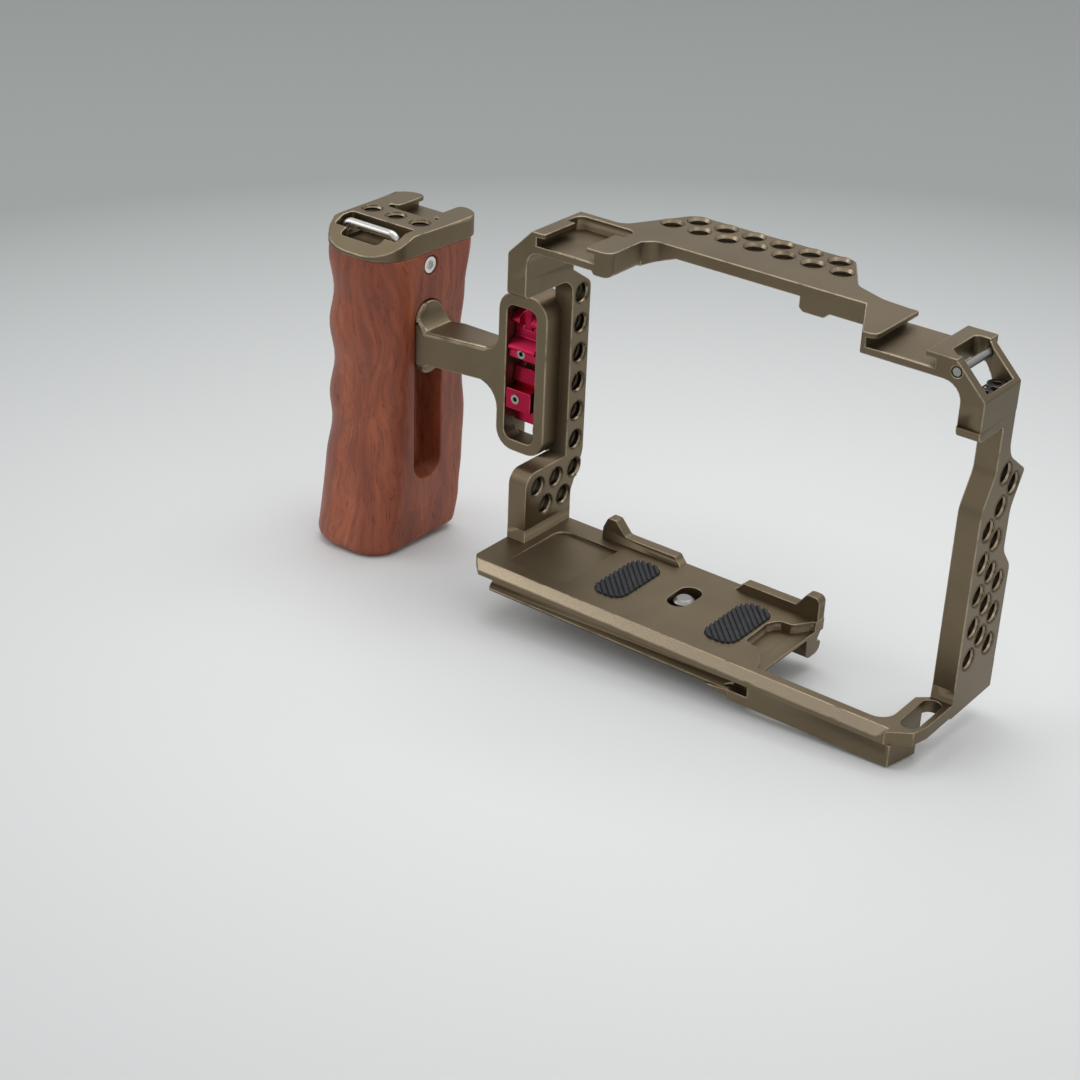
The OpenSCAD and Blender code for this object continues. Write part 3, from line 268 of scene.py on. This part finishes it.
# %% [markdown]
# The grip is rosewood. Its figure has three scales: broad bands that wander
# up the grip, fine growth lines within them, and short dark pores. All are
# noises that are drawn out along the grain, which runs up the handle. Round a
# small knot the grain swerves and closes into an eye. Pulling the pattern's
# space towards the knot's centre, less and less with the distance, pushes the
# lines out round it. The second knot's strength is negative, so there the
# lines draw together.


# %% Rosewood
def swerve(paint, where, centre, reach, strength):
    """Pull the pattern's space towards a point, so that its lines swing out."""
    apart = paint.node("VectorMath", {"operation": "SUBTRACT"}, {0: where, 1: centre})
    far = paint.node("VectorMath", {"operation": "LENGTH"}, {0: apart}, "Value")
    near = 1 - far.clamp(0.0, reach)
    pull = paint.node("VectorMath", {"operation": "SCALE"},
                      {0: apart, "Scale": near * near * strength})
    return paint.node("VectorMath", {"operation": "SUBTRACT"}, {0: where, 1: pull})


def rosewood(name, knots):
    material, paint, shader = finish(name, coat_weight=0.12, coat_roughness=0.3,
                                     specular_ior_level=0.45)
    where = pattern_space(paint)
    for centre, reach, strength in knots:
        where = swerve(paint, where, centre, reach, strength)
    wander = paint.node("TexNoise", None,
                        {"Vector": where, "Scale": 34.0, "Detail": 2.0}, "Color")
    bent = paint.node("VectorMath", {"operation": "MULTIPLY_ADD"},
                      {0: wander, 1: (0.016, 0.016, 0.010), 2: where})

    def along(stretch):
        return paint.node("Mapping", None, {"Vector": bent, "Scale": stretch})

    bands = noise(paint, along((1, 1, 0.16)), 105, 3, 0.55)
    lines = noise(paint, along((1, 1, 0.05)), 560, 3, 0.6)
    pores = noise(paint, along((1, 1, 0.09)), 1700, 2, 0.5)
    broad = bands.node("ValToRGB", {"stops": [
        (0.30, (0.180, 0.036, 0.014)), (0.44, (0.270, 0.060, 0.023)),
        (0.58, (0.350, 0.086, 0.033)), (0.74, (0.430, 0.120, 0.048))]}, {"Fac": bands})
    growth = (1 - lines.clamp(0.34, 0.60)) * 0.62
    lined = growth.mix(broad, (0.150, 0.036, 0.018))
    pore = (pores < 0.365) * 0.45
    colour = pore.mix(lined, (0.075, 0.018, 0.010))
    wire(paint, shader, base_color=colour, roughness=bands * 0.10 + pore * 0.2 + 0.42,
         normal=paint.node("Bump", None, {"Strength": 0.3, "Distance": 0.05 * MM,
                                          "Height": lines * 0.5 - pore}))
    return material


# Each knot is its centre and its reach, both in metres, and its strength.
wood = rosewood("oiled_rosewood", [((-0.110, -0.010, 0.047), 0.020, 0.7),
                                   ((-0.112, -0.012, 0.026), 0.020, -0.5)])
print("wood:", wood.name)

# %% [markdown]
# The two pads are dark rubber, dull and slightly dusty. Dust is both paler and
# rougher than the rubber, so one noise drives the colour and the roughness.


# %% Rubber
def pad_rubber(name):
    material, paint, shader = finish(name, specular_ior_level=0.35)
    where = pattern_space(paint)
    dust = noise(paint, where, 420, 4, 0.6)
    grain = noise(paint, where, 3600, 2)
    clean, dusty = (0.020, 0.021, 0.024), (0.050, 0.051, 0.054)
    wire(paint, shader, base_color=dust.clamp(0.45, 0.85).mix(clean, dusty),
         roughness=dust * 0.2 + 0.52,
         normal=paint.node("Bump", None, {"Strength": 0.4, "Distance": 0.04 * MM,
                                          "Height": grain}))
    return material


rubber = pad_rubber("ribbed_rubber")
print("rubber:", rubber.name)

# %% [markdown]
# The accessory holes are tapped. Where they are follows from the model: rows
# and columns with a pitch. A hole is kept as a place on the face where a screw
# starts, the way the screw goes, how far, and whether it ends blind. All but
# the cap's go right through. The numbers are millimetres.

# %% Places of the threaded holes
left_wall, right_wall, rail_under, cap_top = -58.4, 76.5, 91.9, 77.3
post_wall, rail_wall, cap_depth = 6.4, 3.4, 5.7
left_pitch, right_pitch, rail_pitch, cap_pitch = 9, 9.2, 8.75, 9.2
rightwards, upwards, downwards = (1, 0, 0), (0, 0, 1), (0, 0, -1)
left_places = [(17.4, 16 + left_pitch * k) for k in range(7)]
left_places += [(0.3, 16), (8.85, 16), (4.3, 9), (12.6, 9)]
right_places = [(4.8, 11.2 + right_pitch * k) for k in range(5)]
right_places += [(10.1, 15.8 + right_pitch * k) for k in range(6)]
right_places += [(15.4, 11.2 + right_pitch * k) for k in (0, 1, 2, 5)]
rail_places = [(-27.1 + rail_pitch * k, 22.45) for k in range(7)]
rail_places += [(-22.725 + rail_pitch * k, 28.7) for k in range(6)]
cap_places = [(-117.9 + cap_pitch * k, 14.0) for k in (-1, 0, 1)]
holes = {
    "left_post": [((left_wall, y, z), rightwards, post_wall, False)
                  for y, z in left_places],
    "right_post": [((right_wall, y, z), rightwards, post_wall, False)
                   for y, z in right_places],
    "top_frame": [((x, y, rail_under), upwards, rail_wall, False)
                  for x, y in rail_places],
    "handle_cap": [((x, y, cap_top), downwards, cap_depth, True)
                   for x, y in cap_places]}
print("threaded holes:", {node: len(places) for node, places in holes.items()})

# %% [markdown]
# A milled part never has a perfectly sharp edge. Each part of the model is
# copied, points that lie on each other are merged and flat neighbours are
# dissolved into whole faces. What is left are the part's real edges, which can
# be bevelled without a trace of the triangles.

# %% Copy a part
sharp_from = math.radians(28)
flat_below = math.radians(0.6)
same_point = 2e-7
slack = 0.05
near_enough = slack * MM


def merged_copy(node):
    shape = bmesh.new()
    shape.from_mesh(frame["nodes"][node].data)
    bmesh.ops.remove_doubles(shape, verts=shape.verts, dist=same_point)
    bmesh.ops.dissolve_limit(shape, angle_limit=flat_below, verts=shape.verts,
                             edges=shape.edges, delimit=set())
    shape.faces.layers.float.new("edge")
    return shape


# %% [markdown]
# The model's bores are plain and nearly as wide as the thread's crest. To make
# room for a thread, a bore is widened to the thread's foot. The ends of its
# wall move outwards by as much, which leaves a 45 degree countersink its slope
# and only makes it shorter.

# %% Room for the threads
core, crest, foot, mouth = 2.6 * MM, 2.63 * MM, 3.10 * MM, 3.20 * MM


def hole_frame(place, axis):
    """A matrix that carries +Z to the hole's axis and the origin to its mouth."""
    turn = Vector(axis).to_track_quat("Z", "Y").to_matrix().to_4x4()
    return Matrix.Translation(Vector(place) * MM) @ turn


def open_bore(shape, place, axis, depth):
    """Widen a bore to its thread's foot; returns the points of its mouths."""
    there = hole_frame(place, axis)
    back = there.inverted()
    depth *= MM
    step = foot - core
    mouths = set()
    for v in shape.verts:
        p = back @ v.co
        r = math.hypot(p.x, p.y)
        if not -near_enough < p.z < depth + near_enough:
            continue
        if abs(r - mouth) < near_enough:
            mouths.add(v)
        elif abs(r - core) < near_enough:
            p.x, p.y = p.x / r * foot, p.y / r * foot
            p.z += -min(step, p.z) if p.z < depth / 2 else min(step, max(0, depth - p.z))
            v.co = there @ p
    return mouths


# %% [markdown]
# Every outer edge gets a narrow bevel. Two kinds are left out: the mouths of
# the threaded holes, which have their own countersink, and the seams where two
# milled parts are screwed tightly together. The bevel's new faces get a mark in
# the `edge` attribute, so that the finish can make them lighter, partly as
# metal rubbed bare and partly as a painted highlight.

# %% Break the edges
seam_levels = (3.9, 79.0, 80.8)  # heights in mm


def outer_edges(shape):
    return [e for e in shape.edges
            if e.is_manifold and e.is_convex and e.calc_face_angle(0) > sharp_from]


def on_seam(edge):
    """Whether an edge lies at a height where two milled parts meet."""
    return any(all(abs(v.co.z - level * MM) < near_enough for v in edge.verts)
               for level in seam_levels)


def bevel(shape, edges, width, segments, kind=edge_broken):
    made = bmesh.ops.bevel(shape, geom=edges, offset=width, offset_type="OFFSET",
                           segments=segments, profile=0.5, affect="EDGES",
                           clamp_overlap=False, material=-1)
    mark = shape.faces.layers.float["edge"]
    for face in made["faces"]:
        face[mark] = kind


def break_edges(shape, width, segments, left_out):
    bevel(shape, [e for e in outer_edges(shape)
                  if not on_seam(e)
                  and not (e.verts[0] in left_out and e.verts[1] in left_out)],
          width, segments)


# %% [markdown]
# A finished shape becomes an object. Its shading is smooth up to an angle,
# and weighted normals keep the flat faces flat right up to their bevels. Then
# it is parented to an empty named after the body of the model that it rides
# on. `dress` does all of this for a part, with the material that belongs to
# the part's slot unless it is given one, and hides the part that the new piece
# stands in for.


# %% Dress a part
def keep(shape, name, material, body, smooth_to=50):
    mesh = bpy.data.meshes.new(name)
    shape.to_mesh(mesh)
    shape.free()
    mesh.materials.append(material)
    mesh.shade_smooth()
    mesh.set_sharp_from_angle(angle=math.radians(smooth_to))
    piece = bpy.data.objects.new(name, mesh)
    bpy.context.scene.collection.objects.link(piece)
    even = piece.modifiers.new("even_flats", "WEIGHTED_NORMAL")
    even.keep_sharp = True
    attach(piece, body)
    return piece


bodies = frame["record"]["behaviour"]["bodies"]
body_of_node = {node: body for body, nodes in bodies.items() for node in nodes}
slot_of_node = {s["node"]: s["material_slot"] for s in frame["record"]["subparts"]}
materials = {"bronze": bronze, "red": red, "steel": steel, "wood": wood, "rubber": rubber}


def dress(node, width, material=None, segments=2, first=None):
    """Break a part's edges, `width` mm wide, after what `first` does to it."""
    shape = merged_copy(node)
    if first:
        first(shape)
    mouths = set()
    for place, axis, depth, blind in holes.get(node, ()):
        mouths |= open_bore(shape, place, axis, depth)
    break_edges(shape, width * MM, segments, mouths)
    slot = slot_of_node[node]
    piece = keep(shape, node + "_finished", material or materials[slot],
                 body_of_node[node])
    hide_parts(node)
    print(piece.name, len(piece.data.polygons), "faces")


# %% [markdown]
# A thread is a row of V grooves behind a short smooth lead-in. That section is
# drawn once as a closed outline, from the lead-in at one mouth to the lead-in
# at the other, and spun round the hole's axis. A true helix would look the
# same through a hole this small, and rings stay closed and light. The back of
# the outline lies behind the widened bore, inside the metal.

# %% Threads
pitch, first_groove = 1.27 * MM, 0.12 * MM
groove_deepest, groove_end = 0.42, 0.84
lead_depth, rim_inset, rim_depth = 0.85 * MM, 0.03 * MM, 0.02 * MM
behind, back_depth, foot_inset = foot + 0.05 * MM, 0.10 * MM, 0.02 * MM
steps_round = 28


def thread_outline(depth, blind):
    """Radius and depth of each point; the groove's places are shares of a pitch."""
    lead = [(behind, back_depth), (mouth - rim_inset, rim_depth), (crest, lead_depth)]
    end = depth if blind else depth - lead_depth
    grooves = []
    z = lead_depth + first_groove
    while z + pitch < end:
        grooves += [(foot - foot_inset, z + groove_deepest * pitch),
                    (crest, z + groove_end * pitch), (crest, z + pitch)]
        z += pitch
    if blind:
        return lead + grooves + [(foot - foot_inset, depth), (behind, depth)]
    return lead + grooves + [(r, depth - z) for r, z in reversed(lead)]


def thread(place, axis, depth, blind):
    one = bmesh.new()
    verts = [one.verts.new((r, 0, z)) for r, z in thread_outline(depth * MM, blind)]
    edges = [one.edges.new((a, b)) for a, b in zip(verts, verts[1:] + verts[:1])]
    bmesh.ops.spin(one, geom=verts + edges, cent=(0, 0, 0), axis=(0, 0, 1),
                   angle=2 * math.pi, steps=steps_round, use_merge=True)
    bmesh.ops.remove_doubles(one, verts=one.verts, dist=same_point / 2)
    bmesh.ops.recalc_face_normals(one, faces=one.faces)
    mark = one.faces.layers.float.new("edge")
    for face in one.faces:
        z = face.calc_center_median().z
        lead_in = z < lead_depth or (not blind and z > depth * MM - lead_depth)
        # Lead-ins get the lighter edge colour, partly a painted highlight; deeper faces
        # get painted shade.
        face[mark] = edge_broken if lead_in else thread_painted_shade
    bmesh.ops.transform(one, matrix=hole_frame(place, axis), verts=one.verts)
    mesh = bpy.data.meshes.new("thread")
    one.to_mesh(mesh)
    one.free()
    return mesh


def threads_of(node):
    """One piece that holds the threads of all of a node's holes."""
    whole = bmesh.new()
    for place, axis, depth, blind in holes[node]:
        mesh = thread(place, axis, depth, blind)
        whole.from_mesh(mesh)
        bpy.data.meshes.remove(mesh)
    piece = keep(whole, node + "_threads", bronze, body_of_node[node],
                 smooth_to=30)
    print(piece.name, len(holes[node]), "holes")


# %% [markdown]
# Three parts have more than a narrow bevel. The base plate's long bevel is in
# the model already and only gets a lighter colour, partly bare metal and partly
# a painted highlight. On the top frame, the front corners of the shoes' lips
# are rounded and the front edges of their floors slope, with the same lighter
# colour. The side arm is eased along its upper near edge and up round its foot.
# The edges are found by where they lie, in millimetres.

# %% Wide bevels
slanting = 0.6
shoe_floor, lip_under, rail_top = 91.6, 93.9, 95.3
half_gap, half_floor = 6.6, 9.4
corner_steps, floor_bevel, upright = 4, 0.9, 0.1
arm_left, arm_right, arm_above, arm_near = -100.0, -78.0, 49.0, 6.8
arm_bevel = 1.1
# Each shoe is its middle, its front face, how far right of the middle its
# corners are rounded, and their radius.
shoes = ((-39.7, -8.6, half_gap, 1.0), (59.6, -8.2, 0.0, 2.2))


def between(edge, low, high):
    """Whether both ends of an edge lie in a box, given by two corners in mm."""
    return all(a - slack < value / MM < b + slack
               for v in edge.verts for a, value, b in zip(low, v.co, high))


def mark_wide_bevel(shape):
    """The faces that slant between the near side and the top are lighter all over, bare
    metal and painted highlight.
    """
    mark = shape.faces.layers.float["edge"]
    for face in shape.faces:
        if face.normal.y < -slanting and face.normal.z > slanting:
            face[mark] = edge_bare_and_highlit


def ease_the_shoes(shape):
    """Round the corners of the shoes' lips and slope the floors' front edges."""
    for x, face, right_reach, radius in shoes:
        corners, fronts = [], []
        for e in outer_edges(shape):
            if between(e, (x - half_gap, face, lip_under),
                       (x + right_reach, face, rail_top)):
                if abs(e.verts[0].co.x - e.verts[1].co.x) < upright * MM:
                    corners.append(e)
            if between(e, (x - half_floor, face, shoe_floor),
                       (x + half_floor, face, shoe_floor)):
                fronts.append(e)
        print("shoe at", x, "corners", len(corners), "front edges", len(fronts))
        bevel(shape, corners, radius * MM, corner_steps, edge_plain)
        # The sloped fronts are lighter all over, bare metal and painted highlight.
        bevel(shape, [e for e in fronts if e.is_valid], floor_bevel * MM, 1, edge_bare_and_highlit)


def round_the_arm(shape):
    """A wide bevel along the arm's upper near edge and up round its foot."""
    edges = [e for e in outer_edges(shape)
             if all(arm_left < v.co.x / MM < arm_right and v.co.z / MM > arm_above
                    and v.co.y / MM < arm_near for v in e.verts)]
    print("wide bevel on", len(edges), "edges of the arm")
    bevel(shape, edges, arm_bevel * MM, 3)


# %% [markdown]
# Now every part of the model is dressed. The frame comes first. Its milled
# parts get a bevel of 0.3 mm, and the side arm, which is smoothed after
# milling, a little more. The base plate has narrow lands round its cut-outs
# that a bevel this wide would fold over, so its bevel is narrower.

# %% Frame
milled, smoothed, narrow = 0.3, 0.35, 0.2
dress("base_plate", narrow, first=mark_wide_bevel)
dress("left_post", milled)
dress("right_post", milled)
dress("top_frame", milled, first=ease_the_shoes)
dress("side_arm", smoothed, segments=3, first=round_the_arm)
dress("clamp_rail", narrow)
dress("handle_cap", milled)
for node in holes:
    threads_of(node)

# %% [markdown]
# The cable clamps are small red parts. Screws and pins are turned, with edges
# that are only just broken. The wood of the grip is sanded, which leaves it
# softer edges than the metal's.

# %% Clamps, screws, pads and grip
clamp, screw, pin, pad, sanded = 0.18, 0.08, 0.1, 0.1, 0.5
for node in ("upper_jaw", "lower_jaw", "lower_block"):
    dress(node, clamp)
for node in ("base_screws_left", "base_screws_right", "top_screws_left", "cap_screws",
             "screw_washer", "screw_clip"):
    dress(node, screw, material=plated_steel)
for node in ("arm_bolts", "rail_screws", "upper_jaw_screw", "lower_jaw_screw"):
    dress(node, screw, material=dull_steel)
dress("top_screws_right", pin, material=dark_steel)
for node in ("strap_pin", "camera_screw"):
    dress(node, pin, material=dull_steel)
for node in ("bolt_plate", "upper_handle_bolt", "lower_handle_bolt",
             "cap_strap_bar"):
    dress(node, narrow)
dress("rubber_pads", pad)
dress("handle_grip", sanded, segments=3)

# %% [markdown]
# The floor isn't part of the object. The cage leans a little when it stands
# on its handle and one corner, so the floor is a tilted plane that passes just
# under both. It is pale near the cage, like a white turntable, and darker
# further out, partly as a greyer surround and partly as painted shade.

# %% Floor
floor_level, floor_slope_x, floor_slope_y = -15.9 * MM, 0.058, -0.045
floor_reach = 6
fade_from, fade_to = 0.10, 0.52
# Pale near the middle like a white turntable; the darker far tone is partly painted
# shade.
near_tone, far_tone = (0.73, 0.74, 0.74), (0.29, 0.31, 0.305)


def floor_height(x, y):
    return floor_level + floor_slope_x * x + floor_slope_y * y


def pale_floor():
    shape = bmesh.new()
    for x, y in ((-1, -1), (1, -1), (1, 1), (-1, 1)):
        x, y = x * floor_reach, y * floor_reach
        shape.verts.new((x, y, floor_height(x, y)))
    shape.faces.new(shape.verts)
    mesh = bpy.data.meshes.new("floor")
    shape.to_mesh(mesh)
    shape.free()
    floor = bpy.data.objects.new("floor", mesh)
    bpy.context.scene.collection.objects.link(floor)
    material, paint, shader = finish("pale_floor", roughness=0.6)
    far = paint.node("VectorMath", {"operation": "LENGTH"},
                     {0: pattern_space(paint)}, "Value")
    wire(paint, shader, base_color=far.clamp(fade_from, fade_to).mix(near_tone, far_tone))
    mesh.materials.append(material)


pale_floor()
print("floor under the middle at", round(floor_height(0, 0) / MM, 1), "mm")

# %% [markdown]
# Three soft lamps and a pale room: one broad lamp above, one at the left and
# a weak one from the right, so that flat metal faces differ in tone. The room
# is lighter overhead than at the horizon, as under a studio ceiling, and that
# slow change is what the bronze faces mirror. The lamps are hidden from the
# camera, so that no view shows them.


# %% Lamps and room
def soft_lamp(name, place, aim, size, power):
    lamp = bpy.data.lights.new(name, "AREA")
    lamp.shape, lamp.size, lamp.size_y = "RECTANGLE", size[0], size[1]
    lamp.energy = power
    made = bpy.data.objects.new(name, lamp)
    bpy.context.scene.collection.objects.link(made)
    made.location = place
    made.rotation_mode = "QUATERNION"
    made.rotation_quaternion = (Vector(aim) - Vector(place)).to_track_quat("-Z", "Y")
    made.visible_camera = False


middle = (0, 0, 0.03)
soft_lamp("lamp_above", (-0.15, 0.35, 1.1), middle, (1.2, 0.9), 6)
soft_lamp("lamp_left", (-1.0, -0.5, 0.6), middle, (0.7, 0.7), 2.2)
soft_lamp("lamp_right", (1.1, -0.3, 0.7), middle, (0.6, 0.6), 1.2)
room = bpy.data.worlds.new("room")
room.use_nodes = True
sky = SocketMath(room.node_tree)
direction = sky.node("TexCoord", out="Generated")
height = sky.node("SeparateXYZ", None, {"Vector": direction}, "Z")
tone = height.clamp(-0.1, 0.9).mix((0.50, 0.505, 0.51), (0.74, 0.745, 0.75))
room.node_tree.links.new(tone.socket, room.node_tree.nodes["Background"].inputs["Color"])
bpy.context.scene.world = room
